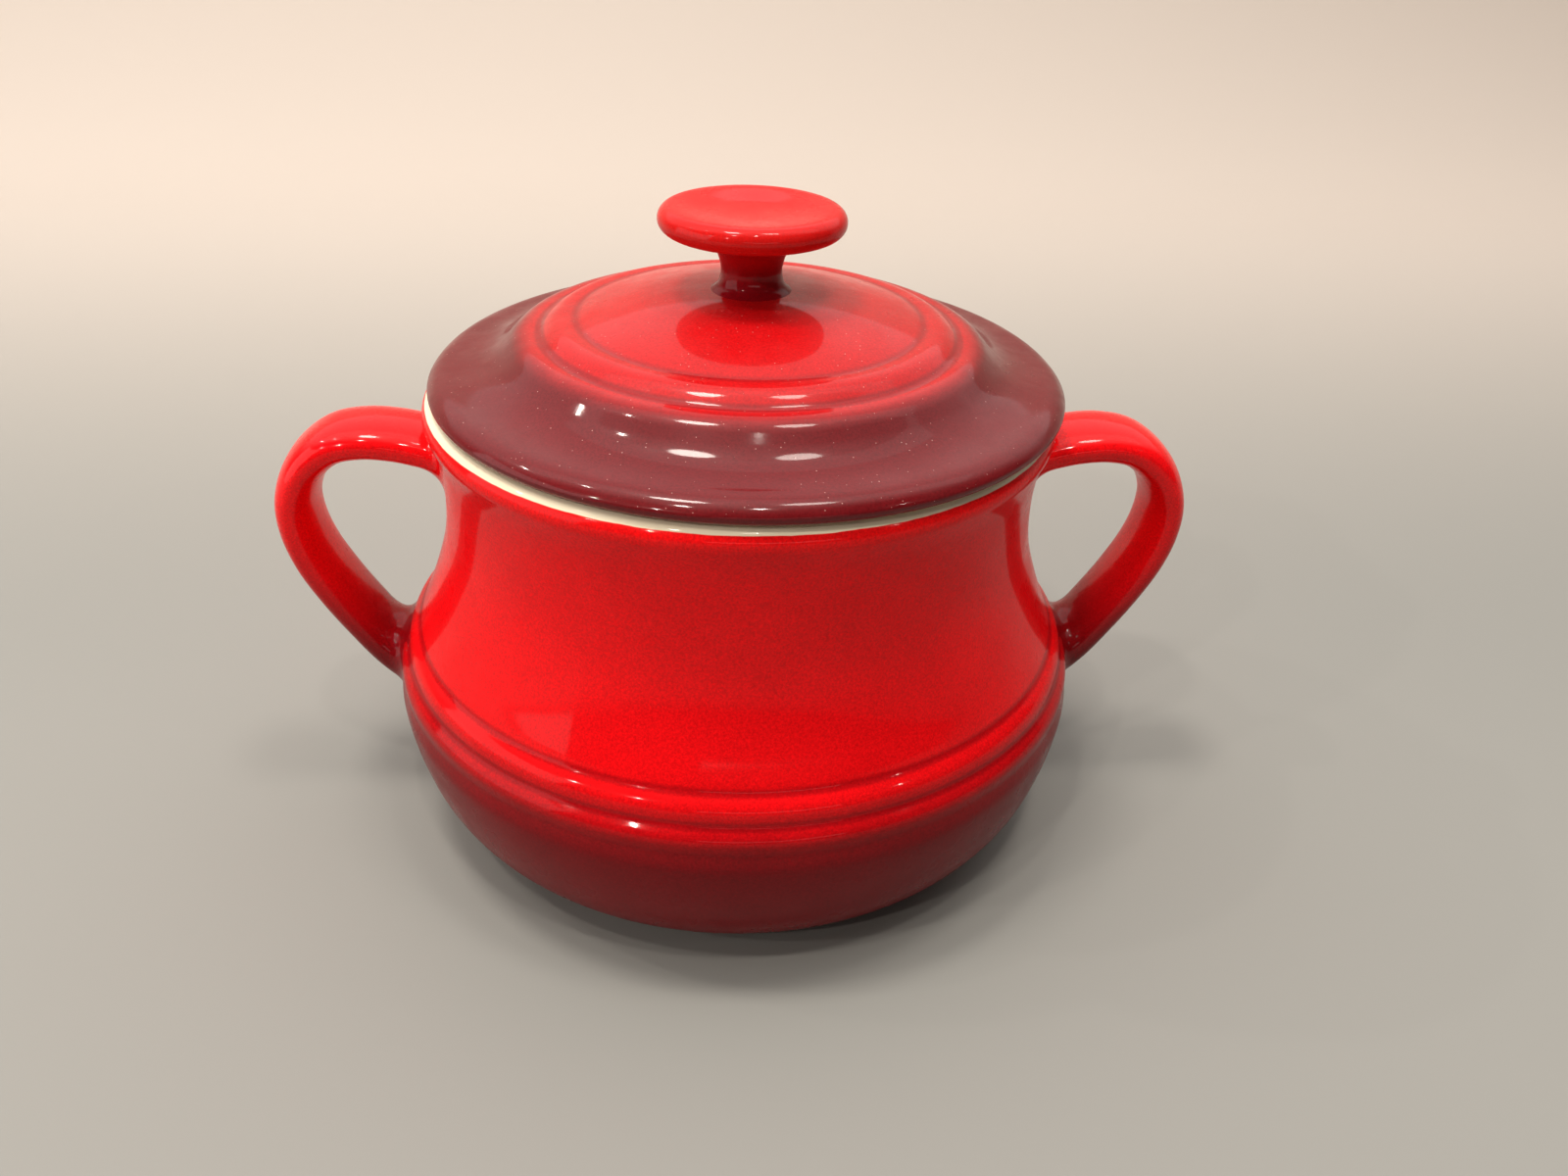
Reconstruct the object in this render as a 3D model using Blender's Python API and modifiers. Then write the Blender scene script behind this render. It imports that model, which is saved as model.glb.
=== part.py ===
"""Round-bellied stoneware pot with two loop handles and a domed lift-off lid.

Metres, +Z up, +X from handle to handle. The origin lies on the pot's axis, in the plane that the foot
ring stands on. Each piece of clay is its own object: the turned pot, its two luted handles, the turned
lid and the knob on it. Outlines are (radius, height) pairs in millimetres.
"""
import math

import bpy
import bmesh
from mathutils import Vector

MM = 0.001
GAP = 0.3                 # clearance that pieces which touch keep, in mm

# Pot
RIM_TOP = 120.4           # height of the rim's highest line
MOUTH_RADIUS = 73.8       # inside the rim
RIM_MIDDLE = 76.2         # radius of the rim's highest line
LIP_ROUND = 4.1           # radius of the rolled outer lip
NECK_RADIUS = 76.7        # narrowest outside radius, at NECK_HEIGHT
NECK_HEIGHT = 97.0
SHOULDER_GROOVE = (86.3, 57.6)
MIDDLE_GROOVE = (90.3, 50.0)
BELLY_GROOVE = (92.6, 43.6)
BEAD_BULGE = 0.85         # how far the two beads between the grooves stand out
BELLY_RADIUS = 93.5
FOOT_OUTER = 60.0
FOOT_INNER = 54.0
BASE_RECESS = 1.5
FLOOR_HEIGHT = 8.0        # top of the pot's floor, inside

# Lid
LID_RADIUS = 80.0
LID_SEAT = RIM_TOP + GAP
LID_EDGE_ROUND = 2.3
LID_PLAY = 1.6            # the lid sits this far towards +X in its loose fit
LID_TOP = 145.4
STEP_GROOVE = (60.6, 131.6)
BAND_GROOVE = (52.0, 134.9)
DOME_GROOVE = (43.2, 138.1)
LID_BEAD_BULGE = 0.9
RING_RADIUS = 71.2        # locating ring that drops into the mouth
RING_INNER = 65.0
RING_DEPTH = 5.2
DOME_INSIDE_TOP = 140.4

# Knob
CAP_RADIUS = 23.0
CAP_HEIGHT = 162.3        # height of the cap's widest line
CAP_ROUND = 3.1
WAIST_RADIUS = 7.6
KNOB_FOOT_RADIUS = 9.8

# Handles: a flattened loop whose section is thin in the loop's plane and wide across it
HANDLE_THICK = 10.3
HANDLE_WIDE = 16.0

TURN_STEPS = 48
KNOB_STEPS = 28
HANDLE_SIDES = 14

MATERIALS = {
    "red_glaze": ((0.52, 0.012, 0.014), 0.12),
    "dark_red_glaze": ((0.17, 0.008, 0.012), 0.14),
}


def smooth_line(points, per_span):
    """Points along a Catmull-Rom curve through the given ones, both ends included."""
    knots = [Vector(p) for p in points]
    knots = [2 * knots[0] - knots[1]] + knots + [2 * knots[-1] - knots[-2]]
    line = []
    for a, b, c, d in zip(knots, knots[1:], knots[2:], knots[3:]):
        for step in range(per_span):
            t = step / per_span
            line.append(0.5 * ((2 * b) + (c - a) * t + (2 * a - 5 * b + 4 * c - d) * t * t
                               + (3 * b - a - 3 * c + d) * t * t * t))
    line.append(knots[-2])
    return [tuple(p) for p in line]


def arc(centre, radius, start, end, steps):
    """Points on a circle, from one angle in degrees to another."""
    angles = [math.radians(start + (end - start) * i / steps) for i in range(steps + 1)]
    return [(centre[0] + radius * math.cos(a), centre[1] + radius * math.sin(a)) for a in angles]


def bead(start, end, bulge, steps=4):
    """A rounded rib between two grooves, without its end points."""
    dr, dz = end[0] - start[0], end[1] - start[1]
    length = math.hypot(dr, dz)
    points = []
    for i in range(1, steps):
        t = i / steps
        out = bulge * math.sin(math.pi * t)
        points.append((start[0] + dr * t - dz / length * out, start[1] + dz * t + dr / length * out))
    return points


def pot_outside():
    """The pot's outer line, from the top of the rim down to the foot ring."""
    lip = arc((RIM_MIDDLE, RIM_TOP - LIP_ROUND), LIP_ROUND, 90, -35, 6)
    cove = smooth_line([lip[-1], (78.0, 109.5), (77.0, 103.5), (NECK_RADIUS, NECK_HEIGHT), (77.0, 89.0),
                        (78.1, 81.5), (80.4, 73.5), (83.5, 65.0), (86.2, 59.2)], 1)
    bowl = smooth_line([(BELLY_RADIUS, 39.5), (93.2, 35.5), (92.5, 31.0), (91.5, 26.5), (90.2, 21.7),
                        (88.2, 16.7), (85.2, 11.8), (81.2, 7.6), (76.0, 4.3), (69.5, 2.1), (62.0, 0.8)], 1)
    return (lip[:-1] + cove + [SHOULDER_GROOVE] + bead(SHOULDER_GROOVE, MIDDLE_GROOVE, BEAD_BULGE)
            + [MIDDLE_GROOVE] + bead(MIDDLE_GROOVE, BELLY_GROOVE, BEAD_BULGE) + [BELLY_GROOVE] + bowl
            + [(FOOT_OUTER, 0.0)])


def pot_inside():
    """The pot's inner line, from the middle of the floor up to the top of the rim."""
    bowl = smooth_line([(0.0, FLOOR_HEIGHT), (38.0, 8.2), (60.0, 9.2), (73.0, 11.8), (81.0, 18.0),
                        (85.8, 28.0), (87.2, 39.5), (84.4, 50.0), (80.0, 60.0), (76.0, 69.5), (73.0, 79.0),
                        (71.4, 89.0), (71.2, 98.0), (72.2, 107.0), (MOUTH_RADIUS - 0.3, 113.5)], 1)
    edge_round = RIM_MIDDLE - MOUTH_RADIUS
    return bowl + arc((RIM_MIDDLE, RIM_TOP - edge_round), edge_round, 180, 90, 4)[:-1]


def lid_dome():
    """The lid's outer line, from its middle out to the dome's groove."""
    return smooth_line([(0.0, LID_TOP), (8.0, 145.2), (16.0, 144.55), (24.0, 143.4), (31.5, 141.8),
                        (38.0, 140.1), (41.4, 139.0), DOME_GROOVE], 1)


def lid_outline():
    """The lid's whole section, from the middle of its top to the middle of its hollow."""
    flange = smooth_line([(61.8, 131.1), (65.5, 129.3), (69.5, 127.7), (73.0, 126.6), (75.6, 125.8)], 1)
    edge = arc((LID_RADIUS - LID_EDGE_ROUND, LID_SEAT + LID_EDGE_ROUND), LID_EDGE_ROUND, 75, -90, 6)
    ring_foot = LID_SEAT - RING_DEPTH
    ring = [(RING_RADIUS, LID_SEAT), (RING_RADIUS - 0.3, ring_foot + 0.9), (RING_RADIUS - 1.2, ring_foot),
            (RING_INNER + 1.2, ring_foot), (RING_INNER + 0.2, ring_foot + 0.9)]
    hollow = smooth_line([(RING_INNER, 121.6), (64.0, 124.3), (59.0, 127.0), (50.0, 130.8), (39.0, 134.7),
                          (26.0, 138.1), (13.0, 139.9), (0.0, DOME_INSIDE_TOP)], 1)
    return (lid_dome() + bead(DOME_GROOVE, BAND_GROOVE, LID_BEAD_BULGE) + [BAND_GROOVE]
            + bead(BAND_GROOVE, STEP_GROOVE, LID_BEAD_BULGE) + [STEP_GROOVE] + flange + edge + ring + hollow)


def dome_height(radius):
    """Height of the lid's top at a radius, read along its faceted outline."""
    outline = lid_dome()
    for (r0, z0), (r1, z1) in zip(outline, outline[1:]):
        if r0 <= radius <= r1:
            return z0 + (z1 - z0) * (radius - r0) / (r1 - r0)
    return outline[-1][1]


def knob_outline():
    """The knob's section, from its dished top down the stem to the lid."""
    dish = smooth_line([(0.0, 163.9), (8.0, 164.1), (14.5, 164.9), (19.0, 165.35)], 1)
    edge = arc((CAP_RADIUS - CAP_ROUND, CAP_HEIGHT), CAP_ROUND, 75, -80, 6)
    stem = smooth_line([(14.5, 158.7), (10.8, 157.3), (8.7, 154.6), (WAIST_RADIUS, 150.6), (8.0, 148.0),
                        (KNOB_FOOT_RADIUS, dome_height(KNOB_FOOT_RADIUS) + GAP + 0.5)], 1)
    foot = [(r, dome_height(r) + GAP) for r in (KNOB_FOOT_RADIUS, KNOB_FOOT_RADIUS / 2, 0.0)]
    return dish + edge + stem + foot


def handle_line():
    """Middle line of a loop handle as (x, height, flare), from inside the neck round to inside the belly."""
    return smooth_line([(70.0, 100.0, 1.6), (80.5, 103.4, 1.32), (89.0, 105.3, 1.06), (97.3, 105.8, 1.0),
                        (105.2, 104.0, 1.0), (112.0, 98.2, 1.0), (116.0, 89.5, 1.0), (116.3, 80.5, 1.0),
                        (113.7, 71.0, 1.0), (109.0, 61.4, 1.0), (103.4, 52.2, 1.05), (97.0, 43.0, 1.25),
                        (90.0, 36.5, 1.6), (83.0, 31.0, 1.9)], 2)


def glaze(name):
    """Principled material of one of the two glaze colours."""
    colour, roughness = MATERIALS[name]
    material = bpy.data.materials.get(name) or bpy.data.materials.new(name)
    material.use_nodes = True
    shader = material.node_tree.nodes["Principled BSDF"]
    shader.inputs["Base Color"].default_value = (*colour, 1.0)
    shader.inputs["Roughness"].default_value = roughness
    shader.inputs["Metallic"].default_value = 0.0
    return material


def turned(name, outline, steps, collection, shift=0.0):
    """Turn an outline about the vertical axis with a Screw modifier."""
    mesh = bpy.data.meshes.new(name)
    vertices = [(r * MM, 0.0, z * MM) for r, z in outline]
    mesh.from_pydata(vertices, [(i, i + 1) for i in range(len(vertices) - 1)], [])
    piece = bpy.data.objects.new(name, mesh)
    piece.location.x = shift * MM
    collection.objects.link(piece)
    screw = piece.modifiers.new("turn", "SCREW")
    screw.axis = "Z"
    screw.angle = math.tau
    screw.steps = steps
    screw.render_steps = steps
    screw.use_merge_vertices = True
    screw.merge_threshold = 0.00001
    screw.use_smooth_shade = True
    return piece


def pot_envelope(cutters):
    """Solid a hair larger than the pot's outside, which trims the handles' roots."""
    grown = [(r + GAP, z) for r, z in pot_outside()]
    outline = [(0.0, RIM_TOP + GAP)] + grown + [(FOOT_OUTER, -GAP), (0.0, -GAP)]
    cutter = turned("pot_envelope", outline, TURN_STEPS, cutters)
    cutter.hide_render = True
    cutter.display_type = "WIRE"
    return cutter


def handle_section(cutters):
    """Oval guide curve that is swept along each handle."""
    curve = bpy.data.curves.new("handle_section", "CURVE")
    spline = curve.splines.new("POLY")
    spline.points.add(HANDLE_SIDES - 1)
    spline.use_cyclic_u = True
    for i, point in enumerate(spline.points):
        angle = math.tau * i / HANDLE_SIDES
        wide, thick = HANDLE_WIDE / 2 * MM, HANDLE_THICK / 2 * MM
        point.co = (wide * math.cos(angle), thick * math.sin(angle), 0.0, 1.0)
    guide = bpy.data.objects.new("handle_section", curve)
    guide.hide_render = True
    guide.display_type = "WIRE"
    cutters.objects.link(guide)
    return guide


def loop_handle(name, side, section, envelope, collection):
    """Sweep the oval along one handle, on the side +1 or -1, and trim its roots to the pot."""
    curve = bpy.data.curves.new(name, "CURVE")
    curve.dimensions = "3D"
    curve.bevel_mode = "OBJECT"
    curve.bevel_object = section
    curve.use_fill_caps = True
    line = handle_line()
    spline = curve.splines.new("POLY")
    spline.points.add(len(line) - 1)
    for point, (x, z, flare) in zip(spline.points, line):
        point.co = (side * x * MM, 0.0, z * MM, 1.0)
        point.radius = flare
    sweep = bpy.data.objects.new(name + "_sweep", curve)
    collection.objects.link(sweep)
    depsgraph = bpy.context.evaluated_depsgraph_get()
    mesh = bpy.data.meshes.new_from_object(sweep.evaluated_get(depsgraph))
    mesh.name = name
    bpy.data.objects.remove(sweep)
    work = bmesh.new()
    work.from_mesh(mesh)
    bmesh.ops.remove_doubles(work, verts=work.verts, dist=0.00001)
    bmesh.ops.recalc_face_normals(work, faces=work.faces)
    work.to_mesh(mesh)
    work.free()
    mesh.shade_smooth()
    mesh.set_sharp_from_angle(angle=math.radians(50))
    handle = bpy.data.objects.new(name, mesh)
    collection.objects.link(handle)
    trim = handle.modifiers.new("trim_roots", "BOOLEAN")
    trim.operation = "DIFFERENCE"
    trim.solver = "EXACT"
    trim.object = envelope
    return handle


def group(name, collection, location=(0.0, 0.0, 0.0)):
    """Empty that one rigid body's pieces hang from."""
    empty = bpy.data.objects.new(name, None)
    empty.empty_display_size = 0.02
    empty.location = location
    collection.objects.link(empty)
    return empty


def hang(piece, empty):
    """Parent a piece to its body's empty without moving it."""
    piece.parent = empty
    piece.matrix_parent_inverse = empty.matrix_world.inverted()


def build():
    for old in list(bpy.data.objects):
        bpy.data.objects.remove(old)
    pieces = bpy.data.collections.new("stoneware_pot")
    cutters = bpy.data.collections.new("cutters")
    bpy.context.scene.collection.children.link(pieces)
    bpy.context.scene.collection.children.link(cutters)

    envelope = pot_envelope(cutters)
    section = handle_section(cutters)
    underside = [(FOOT_INNER, 0.0), (FOOT_INNER - 1.0, BASE_RECESS), (0.0, BASE_RECESS)]
    pot = [turned("pot_body", pot_inside() + pot_outside() + underside, TURN_STEPS, pieces),
           loop_handle("left_handle", -1, section, envelope, pieces),
           loop_handle("right_handle", 1, section, envelope, pieces)]
    lid = [turned("lid", lid_outline(), TURN_STEPS, pieces, LID_PLAY),
           turned("lid_knob", knob_outline(), KNOB_STEPS, pieces, LID_PLAY)]

    pot_group = group("pot_group", pieces)
    lid_group = group("lid_group", pieces, (LID_PLAY * MM, 0.0, LID_SEAT * MM))
    bpy.context.view_layer.update()
    for piece in pot:
        hang(piece, pot_group)
    for piece in lid:
        hang(piece, lid_group)
    hang(lid_group, pot_group)
    for piece in pot + lid:
        colour = "dark_red_glaze" if piece.name == "lid" else "red_glaze"
        piece.data.materials.append(glaze(colour))


build()
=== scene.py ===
"""Glazed stoneware pot with two pulled loop handles and a domed lid, in its finished glazes.

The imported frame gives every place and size. Outlines are (radius, height) pairs in millimetres about
the piece's own axis, and each one runs with the clay on its left, so that its faces point outwards.
"""
import math

import bpy
import bmesh
import numpy as np
from mathutils import Matrix, Vector


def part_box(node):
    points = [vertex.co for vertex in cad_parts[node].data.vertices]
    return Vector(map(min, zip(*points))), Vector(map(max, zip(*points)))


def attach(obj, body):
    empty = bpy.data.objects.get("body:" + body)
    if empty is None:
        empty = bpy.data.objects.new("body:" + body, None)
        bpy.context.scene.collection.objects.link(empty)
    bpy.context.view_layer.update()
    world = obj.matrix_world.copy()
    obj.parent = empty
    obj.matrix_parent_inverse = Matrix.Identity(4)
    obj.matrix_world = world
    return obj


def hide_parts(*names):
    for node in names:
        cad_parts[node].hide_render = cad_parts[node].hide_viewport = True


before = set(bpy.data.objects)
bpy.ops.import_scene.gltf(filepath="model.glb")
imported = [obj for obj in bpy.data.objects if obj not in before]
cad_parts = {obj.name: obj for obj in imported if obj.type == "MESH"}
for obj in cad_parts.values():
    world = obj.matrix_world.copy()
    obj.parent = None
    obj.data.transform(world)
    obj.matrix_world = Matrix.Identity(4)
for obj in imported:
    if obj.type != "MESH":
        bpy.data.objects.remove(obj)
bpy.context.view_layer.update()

MM = 0.001

# Sizes taken from the frame, in mm
POT_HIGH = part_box("pot_body")[1] / MM
LID_LOW, LID_HIGH = (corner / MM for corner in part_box("lid"))
KNOB_LOW, KNOB_HIGH = (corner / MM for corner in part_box("lid_knob"))
HANDLE_LOW, HANDLE_HIGH = (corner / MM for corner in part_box("right_handle"))
RIM_TOP = POT_HIGH.z
BELLY = POT_HIGH.x
LID_AXIS = (LID_LOW.x + LID_HIGH.x) / 2
LID_RADIUS = (LID_HIGH.x - LID_LOW.x) / 2
LID_TOP = LID_HIGH.z
RING_FOOT = LID_LOW.z
CAP_RADIUS = (KNOB_HIGH.x - KNOB_LOW.x) / 2
KNOB_TOP = KNOB_HIGH.z

# Pot
LIP_ROUND = 4.1            # radius of the rolled lip
RIM_MIDDLE = 76.2          # radius of the rim's highest line
MOUTH = 73.8               # inside the rim
SHOULDER_GROOVE = (86.8, 56.8)
MIDDLE_GROOVE = (90.3, 50.0)
BELLY_GROOVE = (92.6, 43.6)
RIB_BULGE = 1.35           # how far a rib stands out between its grooves
FOOT_OUTER, FOOT_INNER = 60.0, 54.0
GROOVE_SOFTNESS = 1.0      # how widely the glaze rounds the grooves
BASE_RECESS = 1.5
CREAM_ENDS_AT = 40         # where the cream glaze stops on the lip, in degrees above its outermost line

# Lid
LID_SEAT = RING_FOOT + 5.2
LID_EDGE_ROUND = 2.3       # radius of the lower half of the lid's rolled edge
DOME_GROOVE = (43.2, 138.1)
BAND_GROOVE = (52.0, 134.9)
STEP_GROOVE = (60.6, 131.6)
LID_RIB_BULGE = 1.5
LID_GROOVE_SOFTNESS = 1.15
RING_RADIUS, RING_INNER = 71.2, 65.0

# Knob
CAP_ROUND = 3.1
WAIST = 7.6

# Handles: the oval that is pulled along the loop
HANDLE_THICK = 10.3
HANDLE_WIDE = HANDLE_HIGH.y - HANDLE_LOW.y
SECTION_POWER = 2.25       # 2 is an ellipse, and more is squarer

NECK_FILLET = (2.6, 5.0)   # at the neck: the fillet on the loop's outside, and how much it grows in its hole
BELLY_FILLET = (2.4, 6.5)  # the same at the belly
FILLET_GROWTH = 1.5        # how late the fillet grows on its way round the oval
ROOT_SUNK = 1.3            # how far the ends of a handle run into the pot's wall

# How finely things are drawn
TURN_STEPS = 288
KNOB_STEPS = 128
PATH_GAP = 0.25            # between points of the handle's middle line and of the wall it meets
RIBS_GONE = 3.0            # softness that wipes the ribs off the wall, so that a root lies over them
POT_SOFTNESS, LID_SOFTNESS, KNOB_SOFTNESS = 0.42, 0.5, 0.45   # of the glaze over every corner
BEND_WINDOW = 25           # points over which the bend of an outline is evened out
FAR = 20.0                 # a distance in mm that stands for "nowhere near"

# Colours of glaze and clay
RED = (0.830, 0.0042, 0.0066)
DEEP_RED = (0.190, 0.0024, 0.0050)
THIN_RED = (0.860, 0.0500, 0.0250)
# painted shade: the same red glaze as the pot's, drawn darker on the lid because the lid faces the bright
# overhead light
LID_RED_WITH_PAINTED_SHADE = (0.500, 0.0045, 0.0060)
LID_MAROON = (0.140, 0.0055, 0.0080)
# painted shade: the same red glaze as the pot's, drawn darker on the knob because it faces the bright
# overhead light
KNOB_RED_WITH_PAINTED_SHADE = (0.560, 0.0045, 0.0060)
KNOB_FOOT = (0.240, 0.0030, 0.0075)
PALE_SPECK = (0.90, 0.52, 0.46)
CREAM = (0.93, 0.83, 0.62)
CREAM_SHADE = (0.74, 0.60, 0.40)
IRON_SPECK = (0.30, 0.17, 0.08)
CLAY = (0.560, 0.440, 0.310)
CLAY_SAND = (0.70, 0.58, 0.44)

# Where a glaze goes from bright to deep, in mm: up from the table, or out from the lid's middle
POT_FADES = (60.0, 39.0)
# the handles turn deep from higher up than the pot, so each loop is drawn darker towards its lower end than
# the wall beside it
HANDLE_FADES = (88.0, 40.0)
LID_FADES = (52.5, 60.0)
KNOB_FADES = (156.0, 146.0)

# Bend of an outline in radians per mm: glaze thins from the first to the second value, and in hollows the
# colour deepens likewise, partly as glaze pooling and partly as painted shade in the grooves
THINS = (0.10, 0.75)
POOLING_AND_PAINTED_SHADE = (-0.02, -0.20)
POOLING_AND_PAINTED_SHADE_SHARE = 0.55

# Set and lights
FLOOR = (0.270, 0.268, 0.252)
WALL = (0.66, 0.585, 0.525)
ROOM = (0.036, 0.034, 0.032)
CEILING = (1.30, 1.24, 1.18)
BACKDROP = (0.74, 0.70, 0.66)

LAMP_DISTANCE = 1.7
# Ceiling lamps as (degrees to the right of the viewer, degrees up, radius in metres, brightness)
LAMPS = ((-35, 36, 0.02, 600), (-57, 33, 0.02, 520), (54, 33, 0.013, 320), (-100, 42, 0.02, 360),
         (-88, 57, 0.02, 360), (-35, 60, 0.05, 118), (5, 66, 0.05, 118), (-82, 77, 0.16, 38),
         (75, 78, 0.16, 20))


# ---------------------------------------------------------------- outlines

def smooth_line(points, per_span=14):
    """Points along a Catmull-Rom curve through the given ones, both ends included."""
    knots = [Vector(p) for p in points]
    knots = [2 * knots[0] - knots[1]] + knots + [2 * knots[-1] - knots[-2]]
    line = []
    for a, b, c, d in zip(knots, knots[1:], knots[2:], knots[3:]):
        for step in range(per_span):
            t = step / per_span
            line.append(0.5 * ((2 * b) + (c - a) * t + (2 * a - 5 * b + 4 * c - d) * t * t
                               + (3 * b - a - 3 * c + d) * t * t * t))
    line.append(knots[-2])
    return [tuple(p) for p in line]


def arc(centre, radius, start, end, steps=24):
    """Points on a circle, from one angle in degrees to another."""
    angles = [math.radians(start + (end - start) * i / steps) for i in range(steps + 1)]
    return [(centre[0] + radius * math.cos(a), centre[1] + radius * math.sin(a)) for a in angles]


def rib(start, end, bulge, steps=24):
    """A rounded rib between two grooves, both of them included."""
    run, rise = end[0] - start[0], end[1] - start[1]
    length = math.hypot(run, rise)
    points = []
    for i in range(steps + 1):
        t = i / steps
        out = bulge * math.sin(math.pi * t)
        points.append((start[0] + run * t - rise / length * out, start[1] + rise * t + run / length * out))
    return points


def spaced(line, gap=0.2):
    """The same line with a point at every gap."""
    line = np.array(line, float)
    steps = np.hypot(*np.diff(line, axis=0).T)
    line = line[np.append(True, steps > 1e-6)]
    way = np.append(0.0, np.cumsum(np.hypot(*np.diff(line, axis=0).T)))
    at = np.linspace(0.0, way[-1], int(way[-1] / gap) + 2)
    return np.column_stack([np.interp(at, way, line[:, 0]), np.interp(at, way, line[:, 1])])


def softened(line, radius):
    """Round every corner of a spaced line, as a coat of glaze does, and keep both ends."""
    step = np.hypot(*(line[1] - line[0]))
    passes = int((radius / step) ** 2)
    line = line.copy()
    for _ in range(passes):
        line[1:-1] = 0.25 * line[:-2] + 0.5 * line[1:-1] + 0.25 * line[2:]
    return line


def smoothed(points, radius):
    """Points along a line whose corners are rounded, without touching its ends."""
    return [tuple(p) for p in softened(spaced(points), radius)]


def bend_of(line):
    """Signed bend at each point of a spaced line, in radians per mm: above 0 on a rounded edge."""
    run = np.diff(line, axis=0)
    heading = np.unwrap(np.arctan2(run[:, 1], run[:, 0]))
    step = np.hypot(*run[0])
    bend = np.zeros(len(line))
    bend[1:-1] = -np.diff(heading) / step
    return bend


def thinned(line, most_turn=math.radians(4.0), most_gap=3.4):
    """Indexes of the points that a line needs: close together where it turns, and far apart where not."""
    turn = np.abs(bend_of(line))
    step = np.hypot(*(line[1] - line[0]))
    keep, turned_by, gone = [0], 0.0, 0.0
    for i in range(1, len(line) - 1):
        turned_by += turn[i] * step
        gone += step
        if turned_by >= most_turn or gone >= most_gap:
            keep.append(i)
            turned_by, gone = 0.0, 0.0
    return keep + [len(line) - 1]


def pot_outside():
    """The pot's outer line, from the top of the rim down to the foot ring."""
    lip = arc((RIM_MIDDLE, RIM_TOP - LIP_ROUND), LIP_ROUND, 90, -35)
    cove = smooth_line([lip[-1], (78.0, 109.5), (77.0, 103.5), (76.7, 97.0), (77.0, 89.0), (78.1, 81.5),
                        (80.4, 73.5), (83.5, 65.0), (86.1, 59.2), SHOULDER_GROOVE])
    bowl = smooth_line([BELLY_GROOVE, (BELLY, 39.5), (93.2, 35.5), (92.5, 31.0), (91.5, 26.5), (90.2, 21.7),
                        (88.2, 16.7), (85.2, 11.8), (81.2, 7.6), (76.0, 4.3), (69.5, 2.1), (62.5, 0.9)])
    ribs = rib(SHOULDER_GROOVE, MIDDLE_GROOVE, RIB_BULGE) + rib(MIDDLE_GROOVE, BELLY_GROOVE, RIB_BULGE)
    return lip + smoothed(cove + ribs + bowl, GROOVE_SOFTNESS)


def pot_inside():
    """The pot's inner line, from the middle of the floor up to the top of the rim."""
    bowl = smooth_line([(0.0, 8.0), (38.0, 8.2), (60.0, 9.2), (73.0, 11.8), (81.0, 18.0), (85.8, 28.0),
                        (87.2, 39.5), (84.4, 50.0), (80.0, 60.0), (76.0, 69.5), (73.0, 79.0), (71.4, 89.0),
                        (71.2, 98.0), (72.2, 107.0), (73.5, 113.5)])
    edge_round = RIM_MIDDLE - MOUTH
    return bowl + arc((RIM_MIDDLE, RIM_TOP - edge_round), edge_round, 180, 90)


def pot_foot():
    """The foot ring and the recess inside it, out to in."""
    return [(FOOT_OUTER + 0.9, 0.0), (FOOT_INNER, 0.0), (FOOT_INNER - 1.4, BASE_RECESS), (0.0, BASE_RECESS)]


def lid_top():
    """The lid's upper line, from its middle out to its edge."""
    dome = smooth_line([(0.0, LID_TOP), (8.0, 145.2), (16.0, 144.55), (24.0, 143.4), (31.5, 141.8),
                        (38.0, 140.1), (41.4, 139.0), DOME_GROOVE])
    flange = smooth_line([STEP_GROOVE, (61.9, 130.45), (63.9, 128.95), (66.4, 127.7), (69.3, 126.85),
                          (72.3, 126.4), (74.6, 126.3), (76.6, 126.0), (78.3, 125.2), (79.5, 123.9)])
    ribs = rib(DOME_GROOVE, BAND_GROOVE, LID_RIB_BULGE) + rib(BAND_GROOVE, STEP_GROOVE, LID_RIB_BULGE)
    return smoothed(dome + ribs + flange, LID_GROOVE_SOFTNESS)


def lid_edge():
    """The lower half of the lid's rolled edge, down to its seat."""
    return arc((LID_RADIUS - LID_EDGE_ROUND, LID_SEAT + LID_EDGE_ROUND), LID_EDGE_ROUND, 5, -90)


def lid_underside():
    """The locating ring and the hollow, from the seat to the middle."""
    ring = [(RING_RADIUS, LID_SEAT), (RING_RADIUS - 0.3, RING_FOOT + 0.9), (RING_RADIUS - 1.2, RING_FOOT),
            (RING_INNER + 1.2, RING_FOOT), (RING_INNER + 0.2, RING_FOOT + 0.9)]
    hollow = smooth_line([(RING_INNER, 121.6), (64.0, 124.3), (59.0, 127.0), (50.0, 130.8), (39.0, 134.7),
                          (26.0, 138.1), (13.0, 139.9), (0.0, 140.4)])
    return ring + hollow


def knob_outside():
    """The knob's section, from its dished top down the stem, and out to a fillet that lies on the dome."""
    dish = smooth_line([(0.0, 163.9), (8.0, 164.1), (14.5, 164.9), (19.0, KNOB_TOP)])
    edge = arc((CAP_RADIUS - CAP_ROUND, KNOB_TOP - CAP_ROUND), CAP_ROUND, 75, -80)
    stem = smooth_line([(14.5, 158.7), (10.8, 157.3), (8.7, 154.6), (WAIST, 151.0), (7.7, 148.6),
                        (8.2, 146.9), (9.1, 145.8), (10.2, 145.0)])
    return dish + edge + stem + [(10.4, 144.2), (0.0, 144.2)]


# ---------------------------------------------------------------- geometry nodes

def link(tree, output, socket):
    tree.links.new(output, socket)


def add_node(tree, kind, label="", **settings):
    """A node of one kind with its settings, such as operation or data_type."""
    node = tree.nodes.new(kind)
    node.label = label
    for name, value in settings.items():
        setattr(node, name, value)
    return node


def fill(tree, node, **values):
    """Set a node's inputs by name, with underscores for spaces: a socket is linked, anything else is set."""
    for name, value in values.items():
        found = [s for s in node.inputs if s.name == name.replace("_", " ") and s.enabled]
        if isinstance(value, bpy.types.NodeSocket):
            tree.links.new(value, found[0])
        else:
            found[0].default_value = value
    return node


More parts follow.
